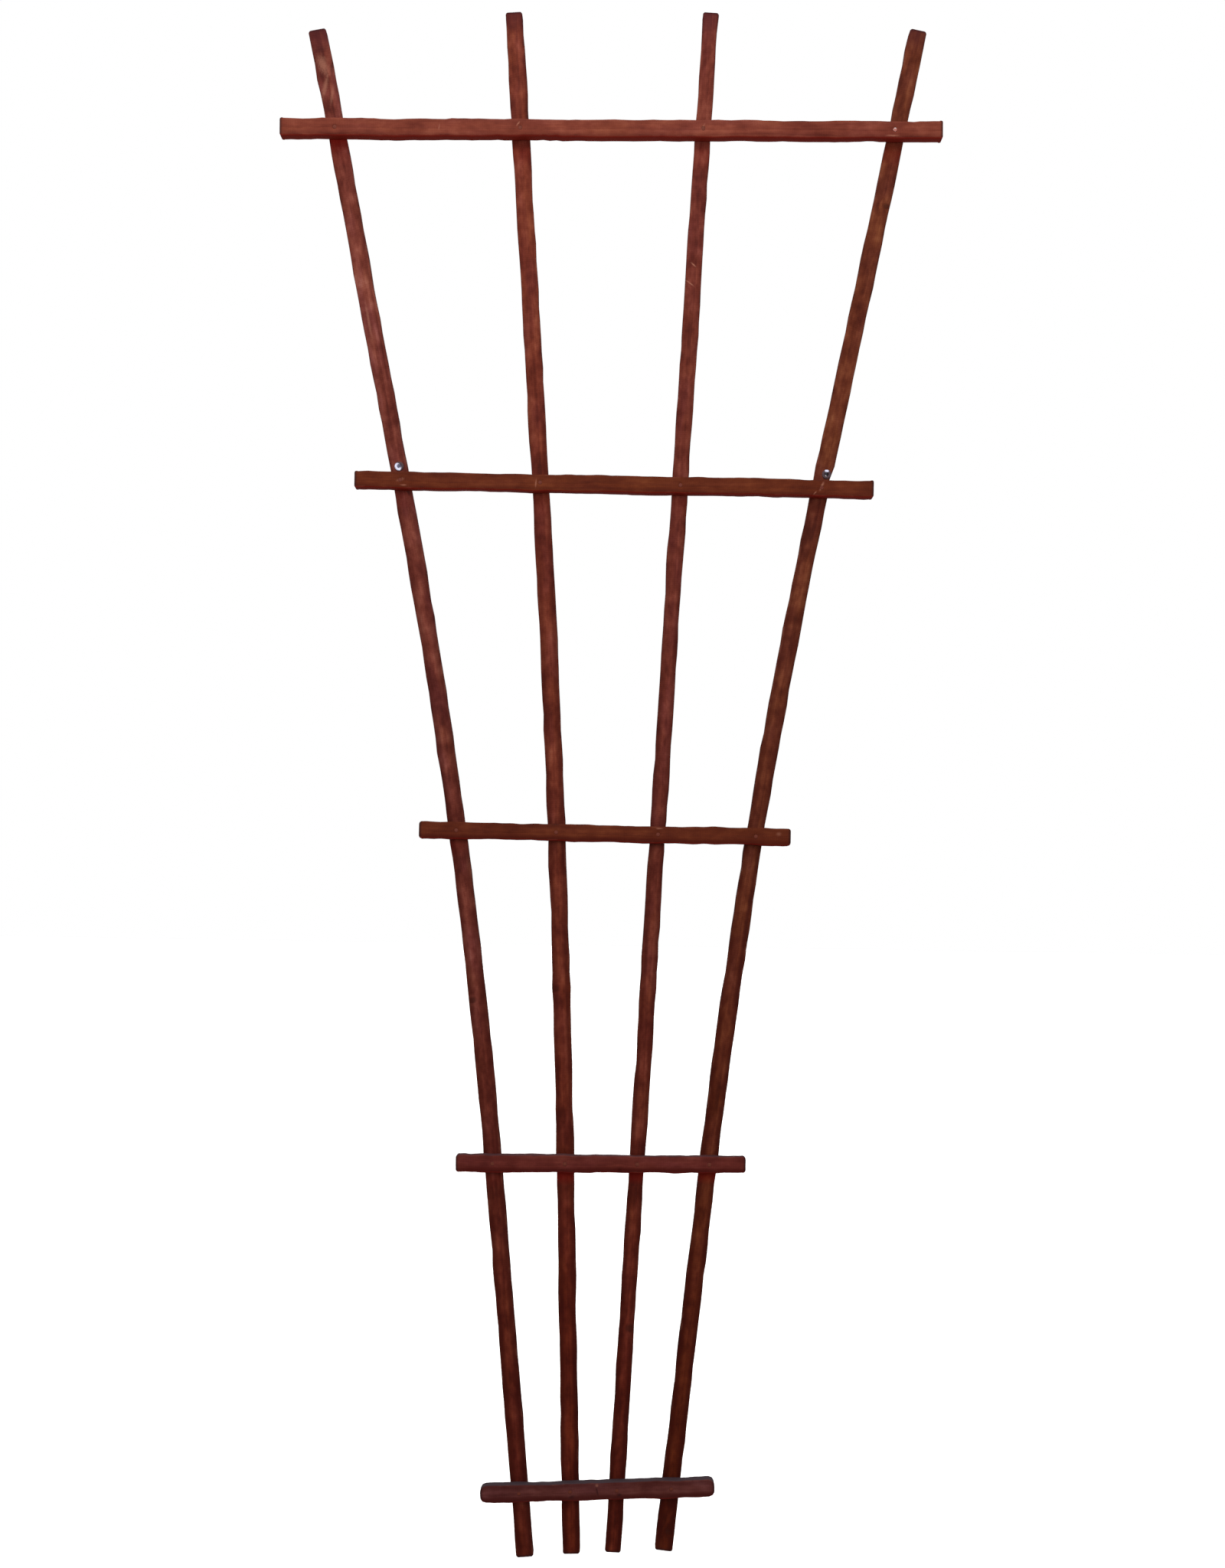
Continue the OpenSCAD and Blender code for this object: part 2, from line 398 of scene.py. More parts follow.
class Finish:
    """A material, and the nodes that its look is made of."""

    def __init__(self, name):
        self.material = bpy.data.materials.new(name)
        self.material.use_nodes = True
        self.tree = self.material.node_tree
        self.tree.nodes.clear()

    def node(self, kind, settings, sockets, output=0):
        """Adds a node. Sockets are values or links, by name or number, or in the node's order."""
        made = self.tree.nodes.new(kind)
        for key, setting in settings.items():
            if key == "stops":
                while len(made.color_ramp.elements) < len(setting):
                    made.color_ramp.elements.new(1)
                for element, (position, colour) in zip(made.color_ramp.elements, setting):
                    element.position = position
                    element.color = (*colour, 1)
            else:
                setattr(made, key, setting)
        named = sockets.items() if isinstance(sockets, dict) else enumerate(sockets)
        for key, given in named:
            if isinstance(given, Value):
                self.tree.links.new(given.socket, made.inputs[key])
            else:
                made.inputs[key].default_value = given
        return Value(self, made.outputs[output])

    def vector(self, x, y, z):
        return self.node("ShaderNodeCombineXYZ", {}, (x, y, z))

    def noise(self, vector, detail=2.0, roughness=0.5):
        sockets = {"Vector": vector, "Scale": 1.0, "Detail": detail, "Roughness": roughness}
        return self.node("ShaderNodeTexNoise", {}, sockets)

    def mixed(self, share, first, second, blend="MIX"):
        settings = {"data_type": "RGBA", "blend_type": blend}
        first, second = ((*c, 1) if isinstance(c, tuple) else c for c in (first, second))
        return self.node("ShaderNodeMix", settings, {0: share, 6: first, 7: second}, 2)

    def surface(self, sockets, height, depth, strength=1.0):
        """The shader of the whole material, with a relief of that height over a depth in metres."""
        bump = {"Height": height, "Distance": depth, "Strength": strength}
        normal = self.node("ShaderNodeBump", {}, bump)
        shader = self.node("ShaderNodeBsdfPrincipled", {}, {**sockets, "Normal": normal})
        out = self.tree.nodes.new("ShaderNodeOutputMaterial")
        self.tree.links.new(shader.socket, out.inputs["Surface"])


KNOT_SPACING = 0.23       # the stretch of lath that may hold one knot
PITH = (0.006, -0.024)    # where the middle of the tree lies, sideways and behind the lath
RING_WIDTH = 0.0024
# painted shade that darkens the lower end
PAINTED_FOOT_SHADE = (0.69, 0.36, 0.18)
PLUM_STAIN = (0.92, 0.90, 1.35)
OCHRE_STAIN = (1.0, 1.12, 0.70)
KNOT_HEART = (0.022, 0.006, 0.004)
# painted shade along the long edges
PAINTED_EDGE_SHADE = (0.026, 0.0018, 0.0008)
RUBBED_EDGE = (0.21, 0.075, 0.050)
BITTEN_EDGE = (0.018, 0.005, 0.004)
END_GRAIN = (0.016, 0.004, 0.004)
HEAD_STAIN = (0.034, 0.0048, 0.0075)    # at the upper end of an upright
PAINTED_UNDERSIDE_SHADE = (0.120, 0.0050, 0.0022)    # painted shade on the underside of a crossbar
# painted sheen of the sky on the top face of a crossbar
PAINTED_TOP_SHEEN = (0.040, 0.029, 0.035)
BRUISED = (0.020, 0.0040, 0.0045)
SCRAPED = (0.26, 0.105, 0.068)


def stained_softwood(name, tones, unevenness, lies_flat, painted_shade_colour, scrapes, bruises):
    """Sawn softwood under a thin stain. tones run from dark to pale.

    lies_flat is for a lath whose long edges are its top and its bottom. scrapes go through the
    stain and bruises soak it up: (lath number, along, sideways, length, width, turn, share).
    """
    wood = Finish(name)
    # how strong the painted shade along the long edges is
    edge_shade_strength = 0.12 if lies_flat else 0.40
    grain = wood.node("ShaderNodeAttribute", {"attribute_name": "grain"}, {}, "Vector")
    tint = wood.node("ShaderNodeAttribute", {"attribute_name": "tint"}, {}, "Color")
    to_end = wood.node("ShaderNodeAttribute", {"attribute_name": "to_end"}, {}, "Fac")
    pool = wood.node("ShaderNodeAttribute", {"attribute_name": "pool"}, {}, "Fac")
    place = wood.node("ShaderNodeTexCoord", {}, {}, "Object")
    height = wood.node("ShaderNodeSeparateXYZ", {}, {"Vector": place}, "Z")
    split = wood.node("ShaderNodeSeparateXYZ", {}, {"Vector": grain}, "X")
    s, u, v = split, split.output("Y"), split.output("Z")

    # Knots: one random place in each stretch of lath, and most of them left empty.
    settings = {"voronoi_dimensions": "1D", "feature": "F1"}
    knot = wood.node("ShaderNodeTexVoronoi", settings, {"W": s / KNOT_SPACING, "Scale": 1.0})
    draws = wood.node("ShaderNodeSeparateColor", {}, {"Color": knot.output("Color")}, "Red")
    knot_radius = draws.output("Green") * 0.003 + 0.0016
    sideways = (u - (draws - 0.5) * 0.015) * 0.9
    out = ((knot * KNOT_SPACING) ** 2 + sideways**2).root() / knot_radius
    is_there = draws.output("Blue").rise(0.80, 0.82)
    heart = out.rise(1.02, 0.7) * is_there
    rim = out.rise(1.6, 1.0) * out.rise(0.6, 0.95) * is_there
    swirl = is_there / (out * out * 0.35 + 1)

    # Growth rings round a pith that lies outside the lath, bent round each knot.
    drift = wood.noise(wood.vector(s * 1.7, u * 9, v * 9), 2) - 0.5
    ripple = wood.noise(wood.vector(s * 14, u * 60, v * 60), 2) - 0.5
    across = u - PITH[0] + drift * 0.03
    depth = v - PITH[1]
    rings = (across**2 + depth**2).root() / RING_WIDTH + swirl * 1.3 + ripple * 0.5 + drift * 2.5
    ring = rings.maths("FRACT")
    late = ring.rise(0.3, 0.9) * ring.rise(1.0, 0.92)

    fibre = wood.noise(wood.vector(s * 38, u * 1300, v * 1300), 3, 0.65) - 0.5
    streak = wood.noise(wood.vector(s * 5.5, u * 190, v * 190), 3, 0.6) - 0.5
    patch = wood.noise(wood.vector(s * 50, u * 85, v * 85), 3, 0.55) - 0.5
    long_patch = wood.noise(wood.vector(s * 12, u * 32, v * 32), 2) - 0.5
    saw_warp = wood.noise(wood.vector(s * 30, u * 25, v * 25), 1)
    saw = ((s * 420 + saw_warp * 5 + u * 14).maths("FRACT") - 0.5).maths("ABSOLUTE") * 2

    uneven = patch * 1.0 + long_patch * 0.4 + streak * 0.4
    tone = 0.5 + fibre * 0.3 + uneven * unevenness - late * 0.09 + saw * 0.03
    stops = list(zip((0.0, 0.3, 0.5, 0.7, 1.0), tones))
    colour = wood.node("ShaderNodeValToRGB", {"stops": stops}, {"Fac": tone}, "Color")
    plum = wood.noise(wood.vector(s * 18, u * 60, v * 60), 2).rise(0.42, 0.68)
    colour = wood.mixed(plum * 0.5 * unevenness, colour, PLUM_STAIN, "MULTIPLY")
    ochre = wood.noise(wood.vector(s * 14 + 9, u * 45, v * 45), 2).rise(0.5, 0.7)
    colour = wood.mixed(ochre * 0.3 * unevenness, colour, OCHRE_STAIN, "MULTIPLY")

    # Painted shade darkens the lower end, where less of the lamps' light falls.
    toward_the_foot = height.rise(0.95, 0.1)
    colour = wood.mixed(toward_the_foot * 0.8, colour, PAINTED_FOOT_SHADE, "MULTIPLY")
    colour = wood.mixed(1.0, colour, tint, "MULTIPLY")

    # The stain soaks deep into a knot. Painted shade darkens the long edges, the uprights under the
    # joints and the lower edge of a crossbar.
    colour = wood.mixed(rim * 0.35, colour, tones[0])
    colour = wood.mixed(heart * 0.6, colour, KNOT_HEART)
    inside = LATH_WIDTH / 2 - abs(u)
    edge_noise = wood.noise(wood.vector(s * 40, u * 90, v * 90), 2)
    painted_shade = (inside + (edge_noise - 0.5) * 0.004).rise(0.0088, 0.0025)
    edge_shade_share = height.rise(1.5, 0.95) * edge_shade_strength + height.rise(0.5, 0.1) * 0.22 + 0.14
    colour = wood.mixed(painted_shade * edge_shade_share, colour, PAINTED_EDGE_SHADE)
    colour = wood.mixed(pool * 0.85, colour, painted_shade_colour)
    edge = (inside**2 + (LATH_THICKNESS / 2 - abs(v)) ** 2).root()
    rub = wood.noise(wood.vector(s * 55, u * 160, v * 160), 3, 0.6)
    rubbed = edge.rise(0.0022, 0.0004) * rub.rise(0.54, 0.66)
    colour = wood.mixed(rubbed * 0.25, colour, RUBBED_EDGE)
    bitten = edge.rise(0.003, 0.0005) * rub.rise(0.44, 0.34)
    colour = wood.mixed(bitten * 0.4, colour, BITTEN_EDGE)
    colour = wood.mixed(to_end.rise(0.004, 0.0005) * 0.75, colour, END_GRAIN)
    if lies_flat:
        # Painted shade on the underside of a crossbar.
        colour = wood.mixed(u.rise(-0.0078, -0.0092) * 0.8, colour, PAINTED_UNDERSIDE_SHADE)
        # Painted sheen of the sky on its top face, stronger low down.
        colour = wood.mixed(u.rise(0.0084, 0.0094) * toward_the_foot * 0.85, colour, PAINTED_TOP_SHEEN)
    else:
        head = to_end.rise(0.034, 0.004) * height.rise(1.0, 1.2)
        colour = wood.mixed(head * 0.5, colour, HEAD_STAIN)

    # Bruises that the stain has soaked into, then scrapes through it to the pale wood.
    on_front = v.rise(0.003, 0.005)
    torn = wood.noise(wood.vector(s * 420, u * 900, v * 900), 2)
    for marks, mark_colour in ((bruises, BRUISED), (scrapes, SCRAPED)):
        marked = 0
        for number, along, sideway, length, width, turn, share in marks:
            x = s - (number * LATH_SPACING + along)
            y = u - sideway
            lengthwise = (x * math.cos(turn) + y * math.sin(turn)) / (length / 2)
            crosswise = (y * math.cos(turn) - x * math.sin(turn)) / (width / 2)
            away = (lengthwise**2 + crosswise**2).root() + torn * 0.8
            marked = marked + away.rise(1.5, 0.5) * share
        colour = wood.mixed(marked * on_front, colour, mark_colour)

    roughness = 0.78 + fibre * 0.3 - late * 0.08 + heart * 0.1 + patch * 0.15
    relief = fibre * 0.5 + late * 0.3 + saw * 0.2 + streak * 0.5 + heart * 0.5 + rub * 0.3
    sockets = {"Base Color": colour, "Roughness": roughness, "Specular IOR Level": 0.05}
    wood.surface(sockets, relief, 0.0004, 0.8)
    return wood.material


WOOD_TONES = (
    (0.026, 0.0030, 0.0018),
    (0.062, 0.0090, 0.0048),
    (0.100, 0.0180, 0.0098),
    (0.150, 0.0340, 0.0190),
    (0.240, 0.0800, 0.0480),
)
UPRIGHT_SCRAPES = (
    (2, 1.530, 0.001, 0.010, 0.0022, 0.9, 0.8),
    (2, 1.508, 0.004, 0.016, 0.0020, 1.0, 0.7),
    (0, 1.787, 0.0010, 0.034, 0.0150, 0.2, 0.5),
    (0, 1.761, 0.0033, 0.038, 0.0070, -0.38, 0.45),
    (0, 1.750, -0.0030, 0.030, 0.0050, -0.3, 0.35),
    (0, 1.480, 0.003, 0.060, 0.0040, 0.0, 0.35),
)
UPRIGHT_BRUISES = (
    (0, 1.806, 0.0, 0.012, 0.0180, 0.2, 0.35),
    (0, 1.782, -0.0080, 0.024, 0.0040, -0.16, 0.45),
    (0, 1.270, -0.0060, 0.012, 0.0050, 0.3, 0.6),
)
UPRIGHT_TINTS = ((1.10, 1.28, 1.50), (1.04, 1.03, 0.95), (1.04, 1.12, 1.22), (0.88, 1.02, 0.78))
UPRIGHT_SWELLS = (0.0008, 0.0003, 0.0004, 0.0005)
# colour of the painted shadow under each crossbar
UPRIGHT_PAINTED_SHADOW = (0.150, 0.0022, 0.0009)
upright_wood = stained_softwood(
    "stained_upright_wood", WOOD_TONES, 1.0, False, UPRIGHT_PAINTED_SHADOW, UPRIGHT_SCRAPES, UPRIGHT_BRUISES
)

PAINTED_SHADOW_REACHES = (0.003, 0.003, 0.0025, 0.0045, 0.009)    # how far the painted shadow reaches down under each crossbar, from the foot up
BARREL_HOLE = 0.00305     # radius of the hole for a fixing eyelet's barrel
UPRIGHT_CHIPS = 26
UPRIGHT_CORNER = 0.0032   # radius that the corners of the ends are worn to

for number, side in enumerate(UPRIGHTS):
    node = f"{side}_upright"
    run = Run(node, along=2, across=0)
    lath = sawn_blank(f"{node}_lath", run)
    places = nail_places(run, [f"{bar}_nail_{number + 1}" for bar in CROSSBARS])
    bores = []
    for s, u in places:
        bore = shank_bore(run)
        bore.location = (s, u, 0)
        bores.append(bore)
    for eyelet in ("left_fixing_eyelet", "right_fixing_eyelet"):
        low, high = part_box(eyelet)
        s, u = run.locate((low.x + high.x) / 2, (low.z + high.z) / 2)
        if abs(u) < run.width / 2:
            ends = run.thickness / 2 + PAST
            bore = turned("barrel_bore", [(BARREL_HOLE, -ends), (BARREL_HOLE, ends)], 32)
            bore.location = (s, u, 0)
            bores.append(bore)
            places.append((s, u))
    bored(lath, bores)
    chips = worn_edges(run, number, UPRIGHT_CHIPS)
    if side == "right_outer":
        # The wood beside this eyelet has broken away.
        eyelet_s = places[-1][0]
        chips += [(eyelet_s - 0.003, -1, 0, 0.024, 0.0028), (eyelet_s, -1, 1, 0.013, 0.0014)]

    def painted_shadow_under_joints(co):
        """Painted shadow down the front from under each crossbar, fading as it goes."""
        painted_shade = np.zeros(len(co))
        on_front = np.clip((co[:, 2] + 0.003) / 0.004, 0, 1)
        for (joint, _), reach in zip(places, PAINTED_SHADOW_REACHES):
            below = joint - run.width / 2 - co[:, 0]
            painted_shade = np.maximum(painted_shade, np.exp(-np.maximum(below, 0) / reach) * (below > -0.004))
        return painted_shade * on_front

    tint, swell = UPRIGHT_TINTS[number], UPRIGHT_SWELLS[number]
    finish_lath(lath, run, number, tint, swell, UPRIGHT_CORNER, chips, places, painted_shadow_under_joints)
    lath.data.materials.clear()
    lath.data.materials.append(upright_wood)
    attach(lath, "root")
    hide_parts(node)

# --- Crossbars -------------------------------------------------------------------------------------
# Five shorter laths off the same saw, laid across the fronts of the uprights to hold the fan open.
# Each is nailed to every upright, and the hammer has bruised the wood round the sunk heads.

TOP_BAR, UPPER_BAR, MIDDLE_BAR, FOOT_BAR = 8, 7, 6, 4    # lath numbers, on from the uprights'
CROSSBAR_SCRAPES = (
    (TOP_BAR, 0.281, 0.004, 0.008, 0.0022, 0.9, 0.7),
    (TOP_BAR, 0.283, 0.000, 0.006, 0.0018, -0.8, 0.5),
    (TOP_BAR, 0.499, 0.002, 0.010, 0.0020, 1.0, 0.5),
    (TOP_BAR, 0.722, -0.007, 0.018, 0.0022, 0.0, 0.6),
    (TOP_BAR, 0.188, 0.000, 0.010, 0.0020, 1.4, 0.4),
    (UPPER_BAR, 0.054, 0.000, 0.012, 0.0050, 0.3, 0.4),
    (UPPER_BAR, 0.058, -0.006, 0.010, 0.0022, 0.0, 0.5),
    (UPPER_BAR, 0.214, -0.001, 0.012, 0.0024, 1.5, 0.6),
    (UPPER_BAR, 0.551, 0.002, 0.015, 0.0036, 1.15, 0.7),
    (UPPER_BAR, 0.543, -0.006, 0.007, 0.0022, 0.8, 0.5),
    (MIDDLE_BAR, 0.283, 0.007, 0.010, 0.0026, 0.0, 0.5),
    (MIDDLE_BAR, 0.424, 0.0032, 0.008, 0.0060, 0.3, 0.3),
    (FOOT_BAR, 0.138, 0.0065, 0.005, 0.0040, 0.0, 0.45),
)
CROSSBAR_BRUISES = (
    (FOOT_BAR, 0.138, 0.0000, 0.014, 0.0030, -1.33, 0.7),
    (FOOT_BAR, 0.108, -0.0050, 0.010, 0.0050, 0.2, 0.6),
    (FOOT_BAR, 0.164, -0.0045, 0.008, 0.0045, 0.1, 0.7),
)
CROSSBAR_TINTS = (
    (1.20, 2.65, 5.8),
    (1.14, 1.34, 2.05),
    (0.84, 0.86, 0.56),
    (0.86, 0.90, 0.55),
    (1.29, 1.50, 1.54),
)
CROSSBAR_SWELLS = (0.0012, 0.0006, 0.0004, 0.0003, 0.0009)
CROSSBAR_CORNERS = (0.0082, 0.0036, 0.0034, 0.0022, 0.0024)
# Painted shade along the lower edge of each crossbar: its share on each, from the foot up, and its
# colour.
LOWER_EDGE_SHADE_SHARES = (0.6, 0.8, 0.6, 0.25, 0.12)
CROSSBAR_PAINTED_SHADE = (0.034, 0.0012, 0.0006)
CHIPS_PER_METRE = 16
FEWEST_CHIPS = 5
TOP_BAR_NOTCHES = [(0.328, -1, 0, 0.009, 0.0014), (0.312, -1, 0, 0.007, 0.0011)]
crossbar_wood = stained_softwood(
    "stained_crossbar_wood", WOOD_TONES, 0.55, True, CROSSBAR_PAINTED_SHADE, CROSSBAR_SCRAPES, CROSSBAR_BRUISES
)

for number, bar in enumerate(CROSSBARS, start=len(UPRIGHTS)):
    node = f"{bar}_crossbar"
    run = Run(node, along=0, across=2)
    lath = sawn_blank(f"{node}_lath", run)
    half = run.thickness / 2
    seat = half - HEAD_SINK - HEAD_THICKNESS
    nail_hole = [
        (SHANK_HOLE, -half - PAST),
        (SHANK_HOLE, seat),
        (HEAD_HOLE, seat),
        (HEAD_HOLE, half - HEAD_SINK),
        (DENT_RADIUS, half),
        (DENT_RADIUS * 1.5, half + PAST),
    ]
    places = nail_places(run, [f"{bar}_nail_{k}" for k in range(1, len(UPRIGHTS) + 1)])
    bores = []
    for s, u in places:
        bore = turned("nail_hole", nail_hole, 24)
        bore.location = (s, u, 0)
        bores.append(bore)
    bored(lath, bores)
    chips = worn_edges(run, number, max(FEWEST_CHIPS, round(run.length * CHIPS_PER_METRE)))
    if bar == "top":
        chips += TOP_BAR_NOTCHES
    k = number - len(UPRIGHTS)

    def painted_shade_along_the_bottom(co):
        """Painted shade along the lower edge of a bar."""
        return LOWER_EDGE_SHADE_SHARES[k] * np.clip((-co[:, 1] - 0.0015) / 0.0045, 0, 1)

    tint, swell, worn_corner = CROSSBAR_TINTS[k], CROSSBAR_SWELLS[k], CROSSBAR_CORNERS[k]
    finish_lath(lath, run, number, tint, swell, worn_corner, chips, places, painted_shade_along_the_bottom)
    lath.data.materials.clear()
    lath.data.materials.append(crossbar_wood)
    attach(lath, "root")
    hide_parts(node)

# --- Nails -----------------------------------------------------------------------------------------
# One flat-headed wire nail at each crossing, driven from the front and sunk a little. The stain has
# run over the heads with the wood, and one of them has been struck bright since.

SHANK = 0.0009            # radii of the shank and the head
HEAD = 0.0023
NAIL_LENGTH = 0.0215
NAIL_POINT = 0.002        # length of the tapered point
BARE_STEEL = (0.42, 0.33, 0.31)
RUSTED = 0.6              # how dark the film is where the steel has rusted under it


def nail_finish(name, film, bare):
    """Steel under a film of stain. bare is the share of the head that shows metal."""
    steel = Finish(name)
    place = steel.node("ShaderNodeTexCoord", {}, {}, "Object")
    grit = steel.node("ShaderNodeTexNoise", {}, {"Vector": place, "Scale": 900.0, "Detail": 3.0})
    cloud = steel.node("ShaderNodeTexNoise", {}, {"Vector": place, "Scale": 320.0, "Detail": 2.0})
    metal = cloud.rise(0.82 - bare * 0.3, 0.88 - bare * 0.3)
    rust = steel.mixed(grit, film, tuple(channel * RUSTED for channel in film))
    colour = steel.mixed(metal, rust, BARE_STEEL)
    roughness = 0.66 - metal * 0.15 + (grit - 0.5) * 0.3
    sockets = {
        "Base Color": colour,
        "Roughness": roughness,
        "Metallic": metal * 0.6,
        "Specular IOR Level": 0.1,
    }
    steel.surface(sockets, grit, 0.0001, 0.6)
    return steel.material


stained_head = nail_finish("stained_nail_head", (0.120, 0.026, 0.015), 0.0)
struck_head = nail_finish("struck_nail_head", (0.360, 0.120, 0.095), 1.0)
STRUCK = ("top_nail_4",)

whole_nail = turned(
    "nail",
    [
        (SHANK * 0.25, -NAIL_LENGTH),
        (SHANK, NAIL_POINT - NAIL_LENGTH),
        (SHANK, -HEAD_THICKNESS * 1.5),
        (SHANK * 1.5, -HEAD_THICKNESS),
        (HEAD * 0.94, -HEAD_THICKNESS * 0.85),
        (HEAD, -HEAD_THICKNESS * 0.6),
        (HEAD * 0.99, -HEAD_THICKNESS * 0.2),
        (HEAD * 0.90, -HEAD_THICKNESS * 0.02),
        (HEAD * 0.55, HEAD_THICKNESS * 0.06),
        (HEAD * 0.15, HEAD_THICKNESS * 0.08),
    ],
    20,
)
bpy.ops.object.shade_smooth_by_angle(angle=math.radians(40))
draw = random.Random(4)
for bar in CROSSBARS:
    for k in range(1, len(UPRIGHTS) + 1):
        node = f"{bar}_nail_{k}"
        low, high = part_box(node)
        driven = whole_nail.copy()
        driven.data = whole_nail.data.copy()
        driven.name = f"{node}_driven"
        bpy.context.collection.objects.link(driven)
        turn = Matrix.Rotation(math.radians(90), 4, "X") @ Matrix.Rotation(draw.uniform(0, 6), 4, "Z")
        into_place = Matrix.Translation(((low.x + high.x) / 2, low.y, (low.z + high.z) / 2))
        driven.data.transform(into_place @ turn)
        driven.data.materials.append(struck_head if node in STRUCK else stained_head)
        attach(driven, "root")
        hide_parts(node)
bpy.data.objects.remove(whole_nail)

# --- Fixing eyelets --------------------------------------------------------------------------------
# A bright zinc-plated eyelet in each outer upright, just above the upper crossbar, which lines the
# hole for a wall screw. Its barrel is pressed through the lath and its flange is rolled over.

EYELET_SCREW_HOLE = 0.00225
EYELET_BARREL = 0.003
ZINC = ((0.44, 0.44, 0.55), (0.60, 0.60, 0.72))
# painted shade over most of each flange
FLANGE_PAINTED_SHADE = (0.030, 0.006, 0.005)
UNSHADED_PLACES = (            # side, middle of the unshaded place from the eyelet's own, how far it reaches
    ("left", -0.0026, -0.0016, 0.0046),
    ("right", 0, 0.0046, 0.0018),
)


def zinc_finish(name, unshaded_x, unshaded_z, reach):
    """Zinc plate under painted shade, left bare as far as reach round one place."""
    zinc = Finish(name)
    place = zinc.node("ShaderNodeTexCoord", {}, {}, "Object")
    spangle = zinc.node("ShaderNodeTexVoronoi", {}, {"Vector": place, "Scale": 900.0}, "Color")
    flake = zinc.node("ShaderNodeSeparateColor", {}, {"Color": spangle}, "Red")
    dull = zinc.node("ShaderNodeTexNoise", {}, {"Vector": place, "Scale": 420.0, "Detail": 3.0})
    across = zinc.node("ShaderNodeSeparateXYZ", {}, {"Vector": place}, "X")
    out = ((across - unshaded_x) ** 2 + (across.output("Z") - unshaded_z) ** 2).root()
    shaded = (out + (dull - 0.5) * 0.002).rise(reach, reach + 0.0012)
    colour = zinc.mixed(flake, *ZINC)
    colour = zinc.mixed(shaded * 0.95, colour, FLANGE_PAINTED_SHADE)
    roughness = 0.45 + flake * 0.1 + dull * 0.15
    sockets = {
        "Base Color": colour,
        "Roughness": roughness,
        "Metallic": 0.6 - shaded * 0.6,
        "Specular IOR Level": 0.1,
    }
    zinc.surface(sockets, dull, 0.00008, 0.5)
    return zinc.material


for side, unshaded_x, unshaded_z, reach in UNSHADED_PLACES:
    node = f"{side}_fixing_eyelet"
    low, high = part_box(node)
    middle = (low + high) / 2
    zinc = zinc_finish(f"{side}_zinc_plate", middle.x + unshaded_x, middle.z + unshaded_z, reach)
    flange = (high.x - low.x) / 2
    length = high.y - low.y
    proud = length - LATH_THICKNESS
    eyelet = turned(
        f"{node}_rolled",
        [
            (EYELET_BARREL, 0),
            (EYELET_BARREL, LATH_THICKNESS),
            (flange * 0.95, LATH_THICKNESS),
            (flange, LATH_THICKNESS + proud * 0.25),
            (flange * 0.985, LATH_THICKNESS + proud * 0.55),
            (flange * 0.93, LATH_THICKNESS + proud * 0.82),
            (flange * 0.84, LATH_THICKNESS + proud * 0.96),
            (flange * 0.74, length),
            (flange * 0.62, length - proud * 0.1),
        ],
        48,
    )
    hole = turned(
        "screw_hole",
        [
            (EYELET_SCREW_HOLE, -PAST),
            (EYELET_SCREW_HOLE, LATH_THICKNESS + proud * 0.3),
            (EYELET_SCREW_HOLE * 1.12, LATH_THICKNESS + proud * 0.6),
            (EYELET_SCREW_HOLE * 1.5, length + proud * 0.05),
            (EYELET_SCREW_HOLE * 1.9, length + PAST),
        ],
        48,
    )
    bored(eyelet, [hole])
    into_place = Matrix.Translation(((low.x + high.x) / 2, high.y, (low.z + high.z) / 2))
    eyelet.data.transform(into_place @ Matrix.Rotation(math.radians(90), 4, "X"))
    bpy.ops.object.shade_smooth_by_angle(angle=math.radians(40))
    eyelet.data.materials.clear()
    eyelet.data.materials.append(zinc)
    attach(eyelet, "root")
    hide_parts(node)

# --- Floor -----------------------------------------------------------------------------------------
# A plain pale studio floor of matt paper, wide enough to run out of sight. A lamp of its own, which
# throws no shadow, keeps it white.

FLOOR_SIZE = 80.0

bpy.ops.object.select_all(action="DESELECT")
bpy.ops.mesh.primitive_plane_add(size=FLOOR_SIZE)
floor = bpy.context.object
floor.name = "floor"
paper = Finish("pale_floor")
floor_place = paper.node("ShaderNodeTexCoord", {}, {}, "Object")
mottle = paper.node("ShaderNodeTexNoise", {}, {"Vector": floor_place, "Scale": 3.0, "Detail": 2.0})
paper_colour = paper.mixed(mottle, (0.90, 0.90, 0.90), (0.93, 0.93, 0.93))
paper.surface({"Base Color": paper_colour, "Roughness": 0.9}, mottle, 0.0005, 0.1)
floor.data.materials.append(paper.material)
floor.visible_diffuse = False
floor.visible_glossy = False

floor_only = bpy.data.collections.new("floor_only")
floor_only.objects.link(floor)
bpy.ops.object.light_add(type="SUN", rotation=(0, 0, 0))
floor_lamp = bpy.context.object
floor_lamp.name = "floor_lamp"
floor_lamp.data.energy = 2.9
floor_lamp.data.use_shadow = False
floor_lamp.light_linking.receiver_collection = floor_only

# --- Light and camera ------------------------------------------------------------------------------
# A soft lamp hangs high in front, so that the trellis is brightest at the top and each crossbar throws
# a short shadow down the uprights. A second one lights the middle, and the white surroundings the rest.

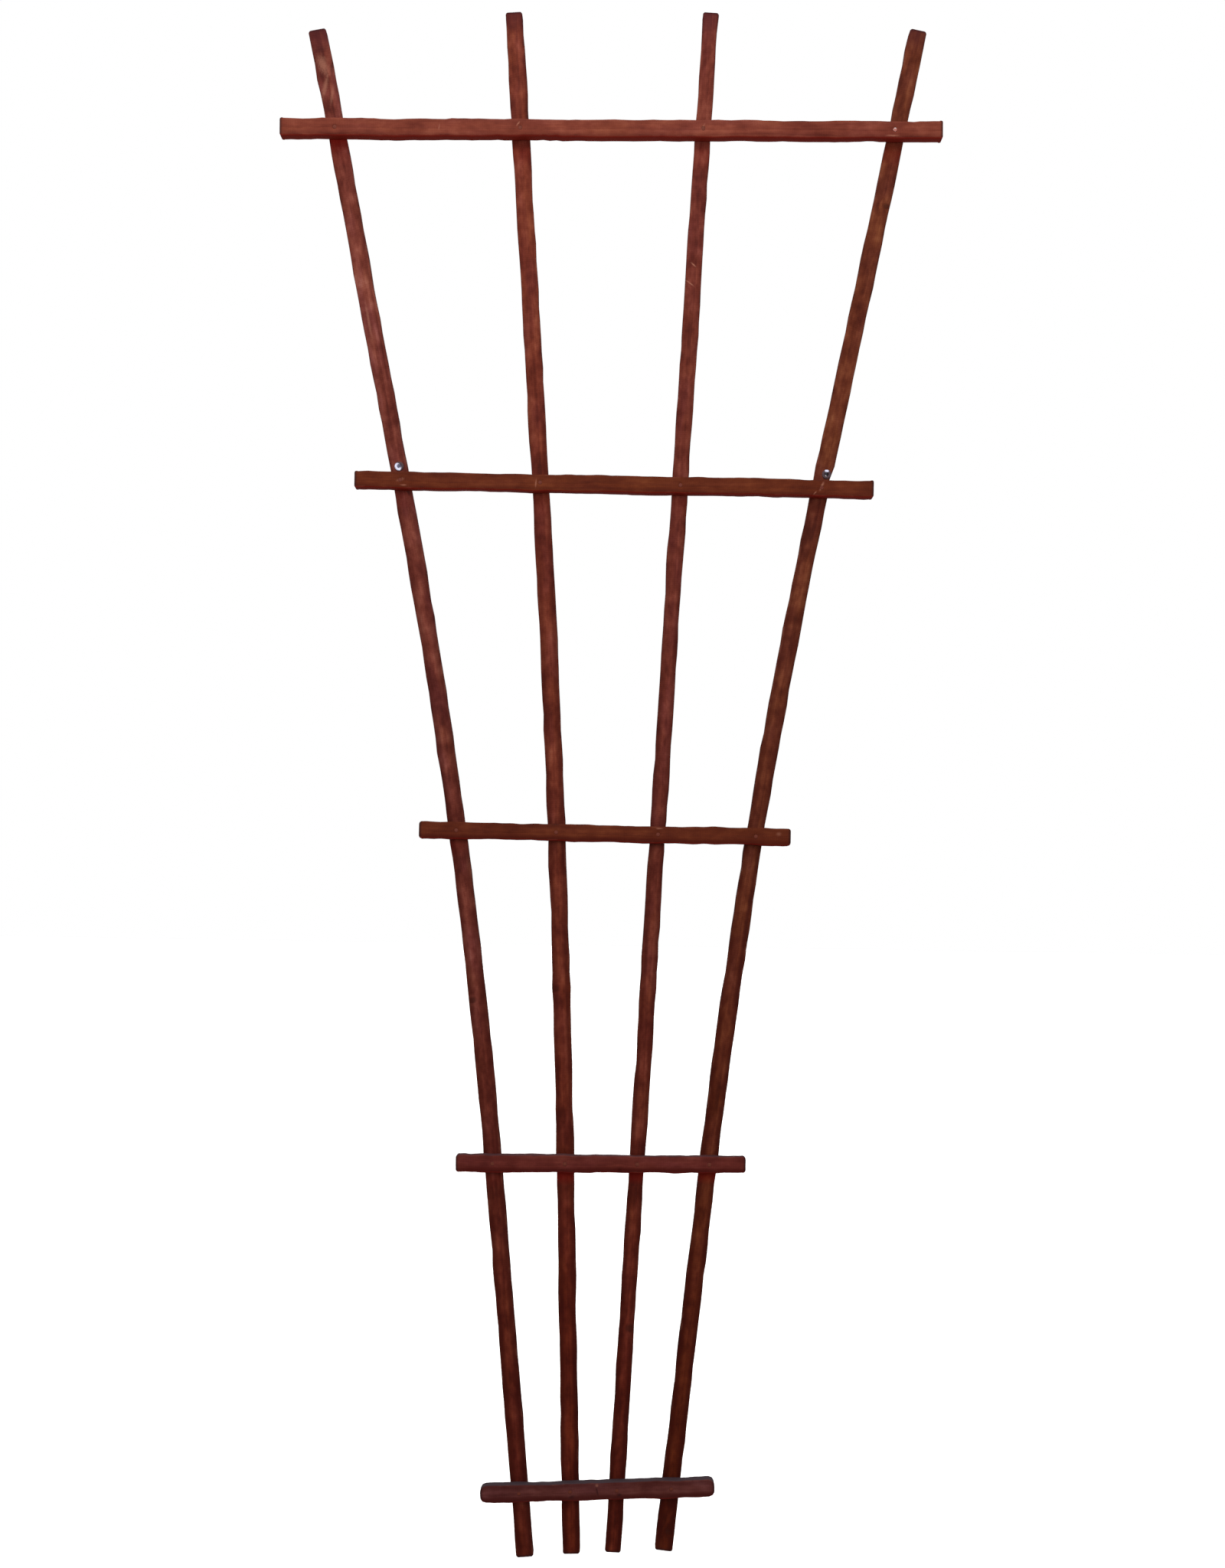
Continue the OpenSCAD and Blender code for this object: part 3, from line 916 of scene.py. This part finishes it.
low, high = cad_box
LAMP_WIDTH = 1.1
LAMP_HEIGHT = 0.8
near_the_top = Vector((0, 0, high.z * 0.82))
above_the_middle = Vector((0, 0, high.z * 0.66))
for name, aim, lamp_place, energy in (
    ("key_lamp", near_the_top, Vector((-0.2, -0.75, high.z + 0.75)), 17),
    ("front_lamp", above_the_middle, Vector((0, -1.4, high.z * 0.68)), 11.5),
):
    bpy.ops.object.light_add(type="AREA", location=lamp_place)
    lamp = bpy.context.object
    lamp.name = name
    lamp.data.shape = "RECTANGLE"
    lamp.data.size = LAMP_WIDTH
    lamp.data.size_y = LAMP_HEIGHT
    lamp.data.energy = energy
    lamp.rotation_euler = (aim - lamp_place).to_track_quat("-Z", "Y").to_euler()
    lamp.visible_camera = False

world = bpy.data.worlds.new("white_surroundings")
bpy.context.scene.world = world
world.use_nodes = True
nodes = world.node_tree.nodes
nodes.clear()
links = world.node_tree.links
seen = nodes.new("ShaderNodeBackground")
seen.inputs["Color"].default_value = (1, 1, 1, 1)
fill = nodes.new("ShaderNodeBackground")
way = nodes.new("ShaderNodeTexCoord")
parts = nodes.new("ShaderNodeSeparateXYZ")
links.new(way.outputs["Generated"], parts.inputs["Vector"])
glow = nodes.new("ShaderNodeMapRange")
glow.inputs["From Min"].default_value = -0.6
glow.inputs["From Max"].default_value = 0.9
glow.inputs["To Min"].default_value = 0.76
glow.inputs["To Max"].default_value = 1.0
links.new(parts.outputs["Z"], glow.inputs["Value"])
links.new(glow.outputs["Result"], fill.inputs["Strength"])
ray = nodes.new("ShaderNodeLightPath")
choose = nodes.new("ShaderNodeMixShader")
links.new(ray.outputs["Is Camera Ray"], choose.inputs["Fac"])
links.new(fill.outputs["Background"], choose.inputs[1])
links.new(seen.outputs["Background"], choose.inputs[2])
out = nodes.new("ShaderNodeOutputWorld")
links.new(choose.outputs["Shader"], out.inputs["Surface"])
bpy.context.scene.view_settings.view_transform = "Standard"

FRONT = (0.0, -1.0, 0.0)
LENS = 35.0
SENSOR = 36.0
FRAME_HEIGHT = 1.847      # what the frame takes in, top to bottom, at the faces of the crossbars
AXIS_DROP = 0.159         # how far the lens is below the middle of the frame
ROLL = math.radians(0.89)
frame_middle = Vector((0.0072, low.y, high.z / 2))
away = FRAME_HEIGHT * LENS / SENSOR
up = Vector((-math.sin(ROLL), 0, math.cos(ROLL)))
bpy.ops.object.camera_add(
    location=frame_middle - up * AXIS_DROP + Vector(FRONT) * away,
    rotation=(math.radians(90), -ROLL, 0),
)
camera = bpy.context.object
camera.data.lens = LENS
camera.data.sensor_width = SENSOR
camera.data.shift_y = AXIS_DROP / FRAME_HEIGHT
bpy.context.scene.camera = camera
